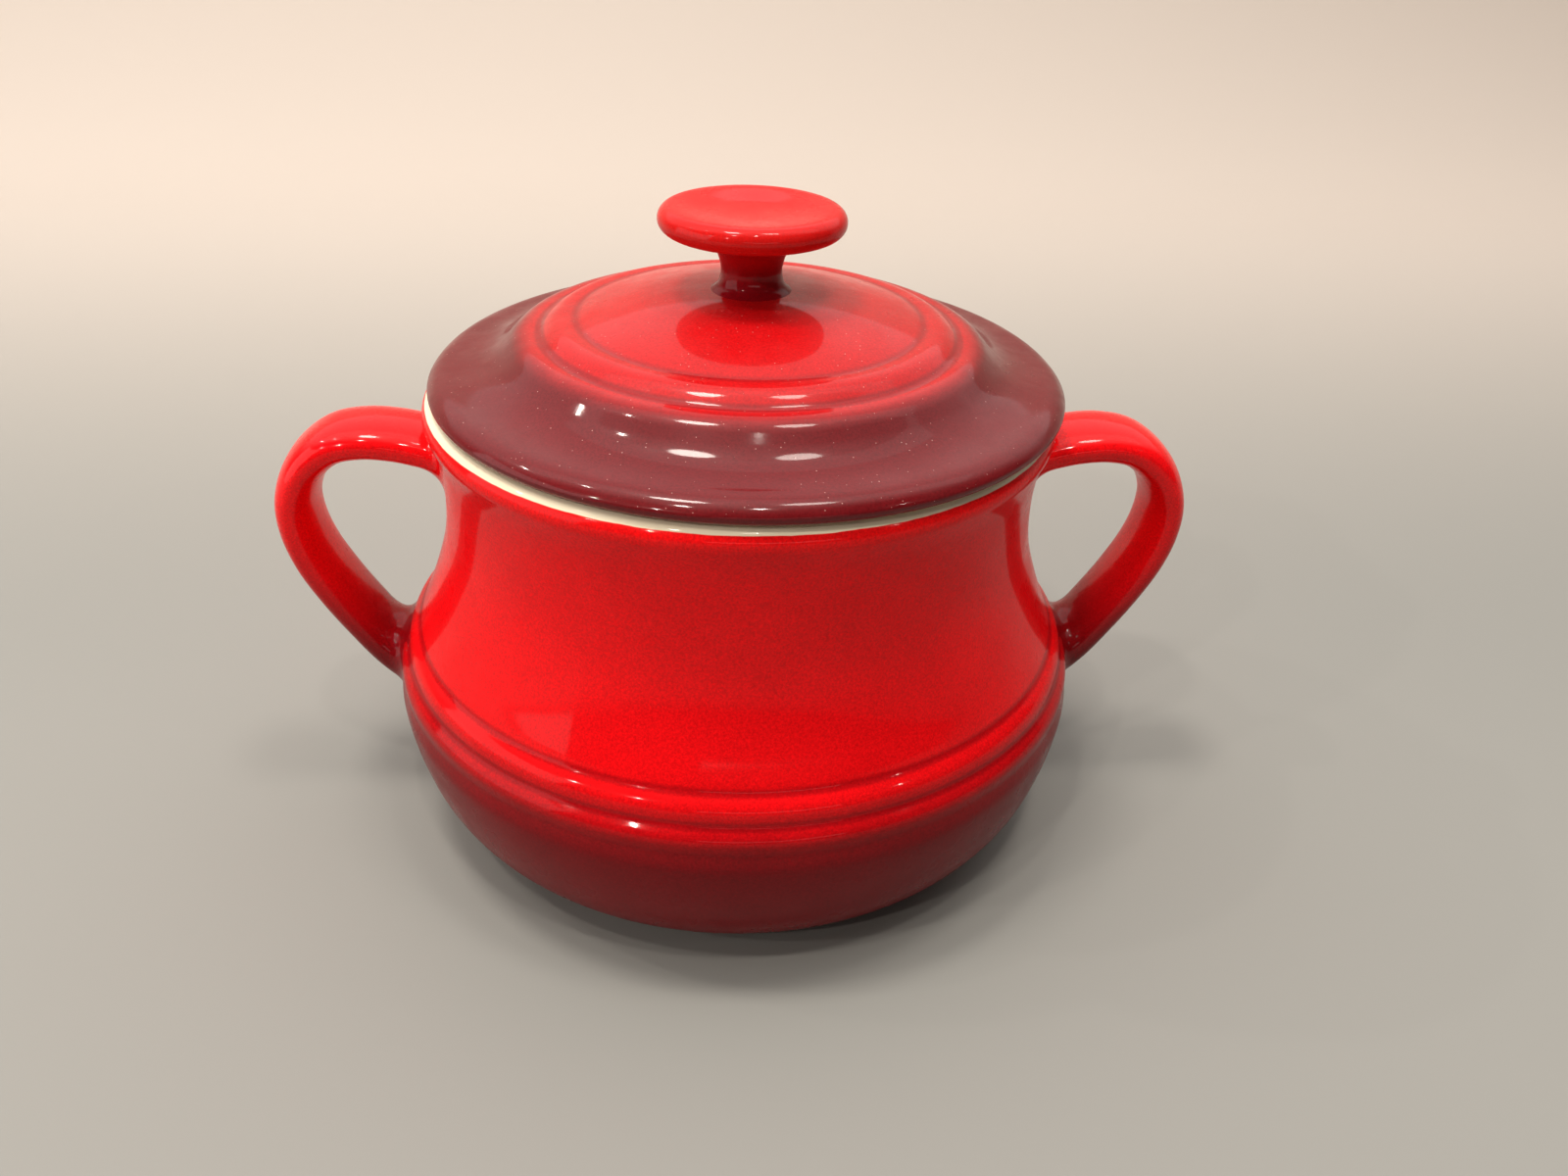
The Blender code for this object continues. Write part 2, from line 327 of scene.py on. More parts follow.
def calc(tree, operation, *values, kind="ShaderNodeMath"):
    """A math node on numbers or sockets. Returns its output."""
    node = tree.nodes.new(kind)
    node.operation = operation
    for socket, value in zip([s for s in node.inputs if s.enabled], values):
        if isinstance(value, bpy.types.NodeSocket):
            tree.links.new(value, socket)
        else:
            socket.default_value = value
    return [s for s in node.outputs if s.enabled][0]


def turned_tree(masks):
    """Tree that turns an outline, held as a chain of points in the XZ plane, about an upright axis."""
    tree = bpy.data.node_groups.new("turned_clay", "GeometryNodeTree")
    for name, kind in (("Outline", "Geometry"), ("Steps Around", "Int"), ("Axis X", "Float"),
                       ("Waviness", "Float"), ("Wave Length", "Float"), ("Seed", "Float"),
                       ("Glaze", "Material")):
        tree.interface.new_socket(name, in_out="INPUT", socket_type="NodeSocket" + kind)
    tree.interface.new_socket("Piece", in_out="OUTPUT", socket_type="NodeSocketGeometry")
    given = add_node(tree, "NodeGroupInput").outputs
    outline = given["Outline"]

    count = add_node(tree, "GeometryNodeAttributeDomainSize", component="MESH")
    link(tree, outline, count.inputs["Geometry"])
    points = count.outputs["Point Count"]
    grid = add_node(tree, "GeometryNodeMeshGrid")
    fill(tree, grid, Vertices_X=calc(tree, "ADD", given["Steps Around"], 1.0), Vertices_Y=points)
    index = add_node(tree, "GeometryNodeInputIndex").outputs[0]
    column = calc(tree, "FLOOR", calc(tree, "DIVIDE", calc(tree, "ADD", index, 0.5), points))
    row = calc(tree, "SUBTRACT", index, calc(tree, "MULTIPLY", column, points))

    def sampled(value, data_type):
        node = add_node(tree, "GeometryNodeSampleIndex", data_type=data_type, domain="POINT")
        fill(tree, node, Geometry=outline, Value=value, Index=row)
        return node.outputs[0]

    place = add_node(tree, "ShaderNodeSeparateXYZ")
    position = add_node(tree, "GeometryNodeInputPosition").outputs[0]
    link(tree, sampled(position, "FLOAT_VECTOR"), place.inputs[0])
    radius, height = place.outputs["X"], place.outputs["Z"]
    angle = calc(tree, "MULTIPLY", calc(tree, "DIVIDE", column, given["Steps Around"]), math.tau)
    ray = add_node(tree, "ShaderNodeCombineXYZ")
    fill(tree, ray, X=calc(tree, "COSINE", angle), Y=calc(tree, "SINE", angle))

    def along(direction, length):
        node = add_node(tree, "ShaderNodeVectorMath", operation="SCALE")
        fill(tree, node, Vector=direction, Scale=length)
        return node.outputs[0]

    def plus(a, b):
        return calc(tree, "ADD", a, b, kind="ShaderNodeVectorMath")

    upright = add_node(tree, "ShaderNodeCombineXYZ")
    fill(tree, upright, Z=height)
    true_place = plus(along(ray.outputs[0], radius), upright.outputs[0])

    # Slow unevenness of thrown clay. It fades out at the axis and at the standing face.
    wave = add_node(tree, "ShaderNodeTexNoise", noise_dimensions="4D")
    fill(tree, wave, Vector=true_place, W=given["Seed"], Detail=1.0, Roughness=0.4,
         Scale=calc(tree, "DIVIDE", 1.0, given["Wave Length"]))
    swing = calc(tree, "MULTIPLY", calc(tree, "SUBTRACT", wave.outputs[0], 0.5),
                 calc(tree, "MULTIPLY", given["Waviness"], 2.0))
    off_axis = calc(tree, "MINIMUM", calc(tree, "DIVIDE", radius, 12 * MM), 1.0)
    off_table = calc(tree, "MINIMUM", calc(tree, "DIVIDE", height, 8 * MM), 1.0)
    lifted = add_node(tree, "ShaderNodeCombineXYZ")
    fill(tree, lifted, Z=calc(tree, "MULTIPLY", swing, off_table), X=given["Axis X"])
    moved = plus(plus(true_place, along(ray.outputs[0], calc(tree, "MULTIPLY", swing, off_axis))),
                 lifted.outputs[0])
    placed = add_node(tree, "GeometryNodeSetPosition")
    fill(tree, placed, Geometry=grid.outputs["Mesh"], Position=moved)

    mesh = placed.outputs[0]
    for name in masks:
        named = add_node(tree, "GeometryNodeInputNamedAttribute", data_type="FLOAT")
        fill(tree, named, Name=name)
        store = add_node(tree, "GeometryNodeStoreNamedAttribute", data_type="FLOAT", domain="POINT")
        fill(tree, store, Geometry=mesh, Name=name, Value=sampled(named.outputs[0], "FLOAT"))
        mesh = store.outputs[0]
    joined = fill(tree, add_node(tree, "GeometryNodeMergeByDistance"), Geometry=mesh, Distance=0.00001)
    smooth = add_node(tree, "GeometryNodeSetShadeSmooth")
    fill(tree, smooth, Geometry=joined.outputs[0], Shade_Smooth=True)
    real = fill(tree, add_node(tree, "GeometryNodeRealizeInstances"), Geometry=smooth.outputs[0])
    glazed = fill(tree, add_node(tree, "GeometryNodeSetMaterial"), Geometry=real.outputs[0],
                  Material=given["Glaze"])
    out = add_node(tree, "NodeGroupOutput")
    link(tree, glazed.outputs[0], out.inputs["Piece"])
    return tree


def finished(name, mesh):
    """Put a mesh in the scene as a piece, with its faces pointing outwards."""
    work = bmesh.new()
    work.from_mesh(mesh)
    if work.calc_volume(signed=True) < 0:
        bmesh.ops.reverse_faces(work, faces=work.faces)
    work.to_mesh(mesh)
    work.free()
    mesh.name = name
    mesh.shade_smooth()
    piece = bpy.data.objects.new(name, mesh)
    bpy.context.scene.collection.objects.link(piece)
    return piece


def turned(name, tree, line, masks, glaze, steps, axis=0.0, wave=(0.09, 46.0), seed=0.0):
    """Turn an outline into a piece. masks maps an attribute's name to its value at each outline point."""
    chain = bpy.data.meshes.new(name + "_outline")
    edges = [(i, i + 1) for i in range(len(line) - 1)]
    chain.from_pydata([(r * MM, 0.0, z * MM) for r, z in line], edges, [])
    for mask, values in masks.items():
        chain.attributes.new(mask, "FLOAT", "POINT").data.foreach_set("value", np.asarray(values, np.float32))
    wheel = bpy.data.objects.new(name + "_wheel", chain)
    bpy.context.scene.collection.objects.link(wheel)
    turn = wheel.modifiers.new("turn", "NODES")
    turn.node_group = tree
    sockets = {s.name: s.identifier for s in tree.interface.items_tree if s.in_out == "INPUT"}
    for socket, value in (("Steps Around", steps), ("Axis X", axis * MM), ("Waviness", wave[0] * MM),
                          ("Wave Length", wave[1] * MM), ("Seed", seed), ("Glaze", glaze)):
        turn[sockets[socket]] = value
    shape = wheel.evaluated_get(bpy.context.evaluated_depsgraph_get())
    mesh = bpy.data.meshes.new_from_object(shape)
    bpy.data.objects.remove(wheel)
    return finished(name, mesh)


# ---------------------------------------------------------------- outlines with their masks

def way_along(line):
    return np.append(0.0, np.cumsum(np.hypot(*np.diff(line, axis=0).T)))


def way_to(line, point):
    """Distance along the line to its point nearest to the given one, in mm."""
    return way_along(line)[np.argmin(np.hypot(*(line - np.array(point)).T))]


def held(way):
    """A distance in mm, held within FAR, in metres."""
    return np.clip(way, -FAR, FAR) * MM


def signed_way(line, from_point, positive_after=True):
    """Distance along the line from the point nearest to from_point."""
    way = way_along(line) - way_to(line, from_point)
    return held(way if positive_after else -way)


def bare_between(outer, inner):
    """Rule for a mask that is below 0 on the bare clay between two points of an outline."""
    def bare(line):
        way = way_along(line)
        return held(np.maximum(way_to(line, outer) - way, way - way_to(line, inner)))
    return bare


def prepared(raw, soft, masks):
    """Space, soften and thin an outline, and work out its masks on the way."""
    line = softened(spaced(raw), soft)
    bend = bend_of(line)
    width = np.hanning(BEND_WINDOW)
    values = {"edge_bend": np.convolve(bend, width / width.sum(), "same")}
    for name, rule in masks.items():
        values[name] = rule(line)
    keep = thinned(line)
    return line[keep], {name: value[keep] for name, value in values.items()}


MASKS = ("edge_bend", "from_cream", "from_bare")


def pot_line():
    """The whole pot's outline and masks, from the middle of its floor to the middle of its underside."""
    lip_centre = (RIM_MIDDLE, RIM_TOP - LIP_ROUND)
    cream_end = arc(lip_centre, LIP_ROUND, CREAM_ENDS_AT, CREAM_ENDS_AT, 1)[0]
    foot = bare_between((FOOT_OUTER + 3.5, 0.95), (FOOT_INNER - 1.2, BASE_RECESS - 0.2))
    return prepared(pot_inside() + pot_outside() + pot_foot(), POT_SOFTNESS,
                    {"from_cream": lambda line: signed_way(line, cream_end), "from_bare": foot})


def lid_line():
    """The lid's outline and masks, from the middle of its top to the middle of its hollow."""
    seat_outer = (LID_RADIUS - LID_EDGE_ROUND, LID_SEAT)
    ring_inner = (RING_INNER + 0.6, RING_FOOT + 0.3)
    return prepared(lid_top() + lid_edge() + lid_underside(), LID_SOFTNESS,
                    {"from_cream": lambda line: signed_way(line, ring_inner, False),
                     "from_bare": bare_between(seat_outer, ring_inner)})


def knob_line():
    """The knob's outline and masks."""
    def far(line):
        return np.full(len(line), FAR * MM)
    return prepared(knob_outside(), KNOB_SOFTNESS, {"from_cream": far, "from_bare": far})


# ---------------------------------------------------------------- handles

def handle_path():
    """Middle line of the right handle as (x, height), from inside the neck round to inside the belly."""
    reach = HANDLE_HIGH.x - HANDLE_THICK / 2
    return spaced(smooth_line([(66.0, 98.3), (74.0, 101.4), (81.5, 103.6), (89.0, 105.3), (97.3, 105.8),
                               (105.2, 104.0), (112.0, 98.2), (116.0, 89.5), (reach - 0.2, 80.5),
                               (113.7, 71.0), (109.0, 61.4), (103.4, 52.2), (97.0, 43.0), (90.0, 36.0),
                               (82.0, 30.0)]), PATH_GAP)


class Wall:
    """The pot's outside with its ribs smoothed away, for the distance of points in mm from it."""

    def __init__(self):
        line = softened(spaced(pot_outside(), PATH_GAP), RIBS_GONE)
        self.start, self.run = line[:-1], np.diff(line, axis=0)
        self.length = (self.run ** 2).sum(1)
        heading = np.gradient(line, axis=0)
        self.out = np.column_stack([-heading[:, 1], heading[:, 0]]) / np.hypot(*heading.T)[:, None]

    def nearest(self, point):
        """Nearest wall point, outward normal and signed distance of one point."""
        ring = math.hypot(point[0], point[1])
        flat = np.array([ring, point[2]])
        share = np.clip(((flat - self.start) * self.run).sum(1) / self.length, 0.0, 1.0)
        near = self.start + self.run * share[:, None]
        i = int(np.argmin(((near - flat) ** 2).sum(1)))
        out = self.out[i] * (1 - share[i]) + self.out[i + 1] * share[i]
        out /= np.hypot(*out)
        side = np.array([point[0], point[1]]) / max(ring, 1e-9)
        spot = np.array([*(side * near[i, 0]), near[i, 1]])
        out = np.array([*(side * out[0]), out[1]])
        return spot, out, float(np.dot(point - spot, out))


def section_point(angle):
    """A point of the handle's oval as (across the loop, out of the loop), in mm."""
    power = 2.0 / SECTION_POWER
    c, s = math.cos(angle), math.sin(angle)
    across, out = math.copysign(abs(s) ** power, s), math.copysign(abs(c) ** power, c)
    return HANDLE_WIDE / 2 * across, HANDLE_THICK / 2 * out


def crossing(values, level):
    """Where values, which fall along a rail, first pass below a level, as a place between two of them."""
    i = int(np.argmax(values < level))
    return i - 1 + (values[i - 1] - level) / (values[i - 1] - values[i])


def on_rail(rail, place):
    """The point at a place, which may lie between two points of the rail."""
    i = min(int(place), len(rail) - 2)
    return rail[i] + (rail[i + 1] - rail[i]) * (place - i)


def root_fillet(wall, rail, core, fillet, steps):
    """Points from a rail's last free point round a fillet and onto the wall, and that point's place."""
    distance = np.array([wall.nearest(p)[2] for p in rail])
    free = crossing(distance, fillet)
    start, corner = on_rail(rail, free), on_rail(rail, crossing(distance, 0.0))
    _, out, _ = wall.nearest(corner)
    away = corner - core
    away = away - out * np.dot(away, out)
    away /= max(np.linalg.norm(away), 1e-9)
    end, _, _ = wall.nearest(corner + away * fillet * 1.15)
    points = []
    for i in range(1, steps + 1):
        t = i / steps
        a, b = start + (corner - start) * 0.62, end + (corner - end) * 0.62
        u = 1 - t
        points.append(u ** 3 * start + 3 * t * u ** 2 * a + 3 * t * t * u * b + t ** 3 * end)
    spot, out, _ = wall.nearest(points[-1])
    points[-1] = spot - out * 0.15
    points.append(spot - out * ROOT_SUNK)
    return free, points


def handle_piece(name, side, wall, glaze, around=56, stations=110, fillet_steps=9):
    """Pull the oval along one loop, let both roots flare onto the pot's wall, and close them inside it."""
    path = handle_path()
    run = np.gradient(path, axis=0)
    run /= np.hypot(*run.T)[:, None]
    out_of_loop = np.column_stack([-run[:, 1], run[:, 0]])
    centre = np.column_stack([path[:, 0], np.zeros(len(path)), path[:, 1]])
    normal = np.column_stack([out_of_loop[:, 0], np.zeros(len(path)), out_of_loop[:, 1]])
    middle = len(path) // 2
    to_neck, to_belly = slice(middle - 1, None, -1), slice(middle, None)
    neck_core, belly_core = [on_rail(half, crossing(np.array([wall.nearest(p)[2] for p in half]), 0.0))
                             for half in (centre[to_neck], centre[to_belly])]

    columns = []
    for k in range(around):
        angle = math.tau * k / around
        across, out = section_point(angle)
        rail = centre + normal * out + np.array([0.0, across, 0.0])
        inward = (1 - math.cos(angle)) / 2                  # 1 on the side that faces the loop's hole
        neck_fillet, belly_fillet = (least + more * inward ** FILLET_GROWTH
                                     for least, more in (NECK_FILLET, BELLY_FILLET))
        free_a, fillet_a = root_fillet(wall, rail[to_neck], neck_core, neck_fillet, fillet_steps)
        free_b, fillet_b = root_fillet(wall, rail[to_belly], belly_core, belly_fillet, fillet_steps)
        first, last = middle - 1 - free_a, middle + free_b
        at = np.linspace(first, last, stations)
        every = np.arange(len(rail))
        run_points = list(np.column_stack([np.interp(at, every, rail[:, i]) for i in range(3)]))
        columns.append(fillet_a[::-1] + run_points + fillet_b)
    rings = list(zip(*columns))

    work = bmesh.new()
    loops = [[work.verts.new(Vector(p) * MM) for p in ring] for ring in rings]
    for lower, upper in zip(loops, loops[1:]):
        for k in range(around):
            work.faces.new((lower[k], lower[(k + 1) % around], upper[(k + 1) % around], upper[k]))
    for loop in (loops[0], loops[-1]):
        hub = work.verts.new(sum((v.co for v in loop), Vector()) / around)
        for k in range(around):
            work.faces.new((loop[k], loop[(k + 1) % around], hub))
    if side < 0:
        bmesh.ops.rotate(work, verts=work.verts, cent=(0, 0, 0), matrix=Matrix.Rotation(math.pi, 3, "Z"))
    bmesh.ops.recalc_face_normals(work, faces=work.faces)
    mesh = bpy.data.meshes.new(name)
    work.to_mesh(mesh)
    work.free()
    mesh.materials.append(glaze)
    for mask in MASKS:
        value = 0.0 if mask == "edge_bend" else FAR * MM
        store = mesh.attributes.new(mask, "FLOAT", "POINT")
        store.data.foreach_set("value", np.full(len(mesh.vertices), value, np.float32))
    return finished(name, mesh)


# ---------------------------------------------------------------- glaze effects, as shader groups

def effect(name, inputs, outputs):
    """A new shader group. inputs are (name, kind, default) and outputs are (name, kind)."""
    tree = bpy.data.node_groups.new(name, "ShaderNodeTree")
    for socket, kind, default in inputs:
        made = tree.interface.new_socket(socket, in_out="INPUT", socket_type="NodeSocket" + kind)
        if default is not None:
            made.default_value = default
    for socket, kind in outputs:
        tree.interface.new_socket(socket, in_out="OUTPUT", socket_type="NodeSocket" + kind)
    return tree, add_node(tree, "NodeGroupInput").outputs, add_node(tree, "NodeGroupOutput").inputs


def noise(tree, vector, grain, detail=2.0, roughness=0.5):
    """Noise whose grain is a size in metres, which may be a socket. Returns its value output."""
    node = add_node(tree, "ShaderNodeTexNoise")
    scale = calc(tree, "DIVIDE", 1.0, grain) if isinstance(grain, bpy.types.NodeSocket) else 1.0 / grain
    fill(tree, node, Vector=vector, Scale=scale, Detail=detail, Roughness=roughness)
    return node.outputs[0]


def ramp(tree, value, low, high, to_low=0.0, to_high=1.0, smooth=True):
    """Map a value from low..high to to_low..to_high, held at both ends."""
    node = add_node(tree, "ShaderNodeMapRange", interpolation_type="SMOOTHSTEP" if smooth else "LINEAR")
    fill(tree, node, Value=value, From_Min=low, From_Max=high, To_Min=to_low, To_Max=to_high)
    return node.outputs[0]


def mixed(tree, factor, a, b, blend="MIX"):
    """Mix two colours, each a socket or a colour. Returns the result."""
    node = add_node(tree, "ShaderNodeMix", data_type="RGBA", blend_type=blend)
    for socket, value in zip((node.inputs[0], node.inputs[6], node.inputs[7]), (factor, a, b)):
        if isinstance(value, bpy.types.NodeSocket):
            tree.links.new(value, socket)
        elif isinstance(value, (int, float)):
            socket.default_value = value
        else:
            socket.default_value = (*value, 1.0)
    return node.outputs[2]


def glaze_edge_effect():
    """Where one glaze stops: 0 before the line and 1 after it, along a slightly unsteady edge."""
    tree, given, out = effect("glaze_edge", [("Vector", "Vector", None), ("Distance", "Float", 0.0),
                                             ("Wander", "Float", 0.0004), ("Softness", "Float", 0.00012)],
                              [("Mask", "Float")])
    slow = calc(tree, "SUBTRACT", noise(tree, given["Vector"], 0.006), 0.5)
    shifted = calc(tree, "ADD", given["Distance"], calc(tree, "MULTIPLY", slow, given["Wander"]))
    low = calc(tree, "MULTIPLY", given["Softness"], -1.0)
    link(tree, ramp(tree, shifted, low, given["Softness"]), out["Mask"])
    return tree


def ombre_effect():
    """How far a sprayed glaze has turned from bright to deep along a way, with a cloudy, unsteady front."""
    tree, given, out = effect("ombre", [("Vector", "Vector", None), ("Way", "Float", 0.0),
                                        ("Bright Until", "Float", 0.0), ("Deep From", "Float", 1.0),
                                        ("Cloud", "Float", 0.003)], [("Deep", "Float")])
    cloud = calc(tree, "SUBTRACT", noise(tree, given["Vector"], 0.014, 3.0, 0.55), 0.5)
    spray = calc(tree, "SUBTRACT", noise(tree, given["Vector"], 0.0011, 2.0, 0.6), 0.5)
    sway = calc(tree, "ADD", cloud, calc(tree, "MULTIPLY", spray, 0.8))
    way = calc(tree, "ADD", given["Way"], calc(tree, "MULTIPLY", sway, given["Cloud"]))
    link(tree, ramp(tree, way, given["Bright Until"], given["Deep From"]), out["Deep"])
    return tree


def glaze_colour_effect():
    """Glaze colour: bright to deep, thin and paler on edges, darker in grooves (partly glaze pooling, partly
    painted shade), finely mottled.
    """
    tree, given, out = effect("glaze_colour", [("Vector", "Vector", None), ("Bright", "Color", None),
                                               ("Deep", "Color", None), ("Thin", "Color", None),
                                               ("Deepness", "Float", 0.0), ("Edge Bend", "Float", 0.0),
                                               ("Mottle", "Float", 0.2), ("Break", "Float", 0.5)],
                              [("Colour", "Color")])
    base = mixed(tree, given["Deepness"], given["Bright"], given["Deep"])
    thin = ramp(tree, given["Edge Bend"], *THINS)
    thin_share = calc(tree, "MULTIPLY", thin, calc(tree, "MULTIPLY", given["Break"],
                                                   calc(tree, "SUBTRACT", 1.0, given["Deepness"])))
    broken = mixed(tree, thin_share, base, given["Thin"])
    # Deepening in grooves: partly glaze pooling, partly painted shade where the grooves lie in shadow
    pooling_and_painted_shade = ramp(tree, given["Edge Bend"], *POOLING_AND_PAINTED_SHADE)
    glaze_pooling_and_painted_shade_colour = mixed(tree, calc(tree, "MULTIPLY", pooling_and_painted_shade, POOLING_AND_PAINTED_SHADE_SHARE), broken, given["Deep"])
    grain = noise(tree, given["Vector"], 0.00055, 2.0, 0.62)
    drift = noise(tree, given["Vector"], 0.018, 2.0, 0.5)
    shade = calc(tree, "ADD", ramp(tree, grain, 0.30, 0.70, -1.0, 1.0, False),
                 calc(tree, "MULTIPLY", calc(tree, "SUBTRACT", drift, 0.5), 1.2))
    value = calc(tree, "ADD", 1.0, calc(tree, "MULTIPLY", shade, given["Mottle"]))
    node = add_node(tree, "ShaderNodeVectorMath", operation="SCALE")
    fill(tree, node, Vector=glaze_pooling_and_painted_shade_colour, Scale=value)
    link(tree, node.outputs[0], out["Colour"])
    return tree


def specks_effect():
    """Tiny round specks: Mask is 1 on a speck. Share is how many cells of the given size hold one."""
    tree, given, out = effect("specks", [("Vector", "Vector", None), ("Cell", "Float", 0.002),
                                         ("Radius", "Float", 0.06), ("Share", "Float", 0.3)],
                              [("Mask", "Float")])
    cells = add_node(tree, "ShaderNodeTexVoronoi", feature="F1")
    fill(tree, cells, Vector=given["Vector"], Scale=calc(tree, "DIVIDE", 1.0, given["Cell"]), Randomness=1.0)
    pick = add_node(tree, "ShaderNodeSeparateColor")
    link(tree, cells.outputs["Color"], pick.inputs[0])
    chosen = calc(tree, "LESS_THAN", pick.outputs[0], given["Share"])
    size = calc(tree, "MULTIPLY", given["Radius"], calc(tree, "ADD", 0.5, pick.outputs[1]))
    dot = ramp(tree, cells.outputs["Distance"], size, calc(tree, "MULTIPLY", size, 0.45))
    link(tree, calc(tree, "MULTIPLY", chosen, dot), out["Mask"])
    return tree


def glaze_skin_effect():
    """The surface of a fired glaze: slow swim, orange peel and fine grit as a normal, and its roughness."""
    tree, given, out = effect("glaze_skin", [("Vector", "Vector", None), ("Peel", "Float", 0.5),
                                             ("Roughness", "Float", 0.1)],
                              [("Normal", "Vector"), ("Roughness", "Float")])
    swim = calc(tree, "MULTIPLY", noise(tree, given["Vector"], 0.009, 1.0, 0.4), 1.0)
    peel = calc(tree, "MULTIPLY", noise(tree, given["Vector"], 0.0018, 2.0, 0.5), 0.16)
    grit = calc(tree, "MULTIPLY", noise(tree, given["Vector"], 0.0005, 2.0, 0.5), 0.020)
    height = calc(tree, "ADD", calc(tree, "ADD", swim, peel), grit)
    bump = add_node(tree, "ShaderNodeBump")
    fill(tree, bump, Height=height, Strength=given["Peel"], Distance=0.00009)
    link(tree, bump.outputs[0], out["Normal"])
    patch = ramp(tree, noise(tree, given["Vector"], 0.012, 3.0, 0.6), 0.3, 0.7, 0.75, 1.35)
    link(tree, calc(tree, "MULTIPLY", patch, given["Roughness"]), out["Roughness"])
    return tree


EFFECTS = {}


def placed_effect(tree, name, **values):
    """One shared effect in a material, with its own values."""
    node = add_node(tree, "ShaderNodeGroup")
    node.node_tree = EFFECTS[name]
    fill(tree, node, **values)
    return node.outputs


def object_place(tree, centre=(0.0, 0.0, 0.0)):
    """Object coordinates measured from a centre in mm, and the height and radius there in metres."""
    coords = add_node(tree, "ShaderNodeTexCoord").outputs["Object"]
    shifted = add_node(tree, "ShaderNodeMapping")
    fill(tree, shifted, Vector=coords, Location=[-c * MM for c in centre])
    parts = add_node(tree, "ShaderNodeSeparateXYZ")
    link(tree, shifted.outputs[0], parts.inputs[0])
    x, y, z = parts.outputs
    radius = calc(tree, "SQRT", calc(tree, "ADD", calc(tree, "MULTIPLY", x, x), calc(tree, "MULTIPLY", y, y)))
    return coords, z, radius


def mask_value(tree, name):
    node = add_node(tree, "ShaderNodeAttribute")
    node.attribute_name = name
    return node.outputs["Fac"]


def cream_and_bare(tree, place, colour):
    """Lay the cream glaze and the bare clay over a colour, where the masks say. Also returns the mask that is
    0 on the bare clay and 1 off it."""
    off_cream = placed_effect(tree, "glaze_edge", Vector=place,
                              Distance=mask_value(tree, "from_cream"))["Mask"]
    off_bare = placed_effect(tree, "glaze_edge", Vector=place, Distance=mask_value(tree, "from_bare"),
                             Wander=0.0012, Softness=0.0002)["Mask"]
    iron = placed_effect(tree, "specks", Vector=place, Cell=0.0045, Radius=0.05, Share=0.25)["Mask"]
    cloudy = ramp(tree, noise(tree, place, 0.022, 3.0), 0.3, 0.7, 0.0, 0.35)
    cream = mixed(tree, cloudy, CREAM, CREAM_SHADE)
    cream = mixed(tree, calc(tree, "MULTIPLY", iron, 0.6), cream, IRON_SPECK)
    sand = ramp(tree, noise(tree, place, 0.0009, 4.0, 0.7), 0.3, 0.7)
    clay = mixed(tree, sand, CLAY, CLAY_SAND)
    colour = mixed(tree, off_cream, cream, colour)
    return mixed(tree, off_bare, clay, colour), off_bare


def glaze_material(name, bright, deep, fades, cloud, way="height", centre=(0.0, 0.0, 0.0), mottle=0.20,
                   specks=0.0, part_glazed=True, roughness=0.30, under_gloss=0.02, gloss=0.30, peel=0.3):
    """A glaze that runs from bright to deep. Where part_glazed, it stops at cream glaze and bare clay.
    fades says in mm, up from the table or out from the centre, where it is last bright and first deep."""
    material = bpy.data.materials.new(name)
    material.use_nodes = True
    tree = material.node_tree
    shader = tree.nodes["Principled BSDF"]
    place, height, radius = object_place(tree, centre)
    deepness = placed_effect(tree, "ombre", Vector=place, Way=radius if way == "radius" else height,
                             Bright_Until=fades[0] * MM, Deep_From=fades[1] * MM, Cloud=cloud * MM)["Deep"]
    colour = placed_effect(tree, "glaze_colour", Vector=place, Bright=(*bright, 1.0), Deep=(*deep, 1.0),
                           Thin=(*THIN_RED, 1.0), Deepness=deepness, Edge_Bend=mask_value(tree, "edge_bend"),
                           Mottle=mottle, Break=0.35)["Colour"]
    if specks:
        pale = placed_effect(tree, "specks", Vector=place, Cell=0.0015, Radius=0.085, Share=specks)["Mask"]
        colour = mixed(tree, calc(tree, "MULTIPLY", pale, 0.5), colour, PALE_SPECK)
    skin = placed_effect(tree, "glaze_skin", Vector=place, Peel=peel, Roughness=roughness)
    link(tree, skin["Normal"], shader.inputs["Normal"])
    if part_glazed:
        colour, off_bare = cream_and_bare(tree, place, colour)
        dull = calc(tree, "MULTIPLY", calc(tree, "SUBTRACT", 1.0, off_bare), 0.55)
        link(tree, calc(tree, "ADD", skin["Roughness"], dull), shader.inputs["Roughness"])
        link(tree, calc(tree, "MULTIPLY", off_bare, gloss), shader.inputs["Coat Weight"])
    else:
        link(tree, skin["Roughness"], shader.inputs["Roughness"])
        shader.inputs["Coat Weight"].default_value = gloss
    link(tree, colour, shader.inputs["Base Color"])
    shader.inputs["Specular IOR Level"].default_value = under_gloss
    shader.inputs["Coat Roughness"].default_value = 0.07
    shader.inputs["Coat IOR"].default_value = 1.5
    shader.inputs["IOR"].default_value = 1.5
    return material


# ---------------------------------------------------------------- set

def soft_box(name, place, target, size, brightness, colour=(1.0, 1.0, 1.0)):
    """A rectangular light of even brightness, where 1 is a white card in full light."""
    light = bpy.data.lights.new(name, "AREA")
    light.shape = "RECTANGLE"
    light.size, light.size_y = size
    light.energy = brightness * math.pi * size[0] * size[1]
    light.color = colour
    lamp = bpy.data.objects.new(name, light)
    lamp.location = place
    lamp.rotation_euler = (Vector(place) - Vector(target)).to_track_quat("Z", "Y").to_euler()
    lamp.visible_camera = False
    bpy.context.scene.collection.objects.link(lamp)
    return lamp


def down_light(name, place, radius, brightness):
    """A small round ceiling lamp."""
    lamp = soft_box(name, place, (place[0] * 0.3, place[1] * 0.3, 0.0), (radius * 2, radius * 2), brightness,
                    (1.0, 0.93, 0.84))
    lamp.data.shape = "DISK"
    return lamp


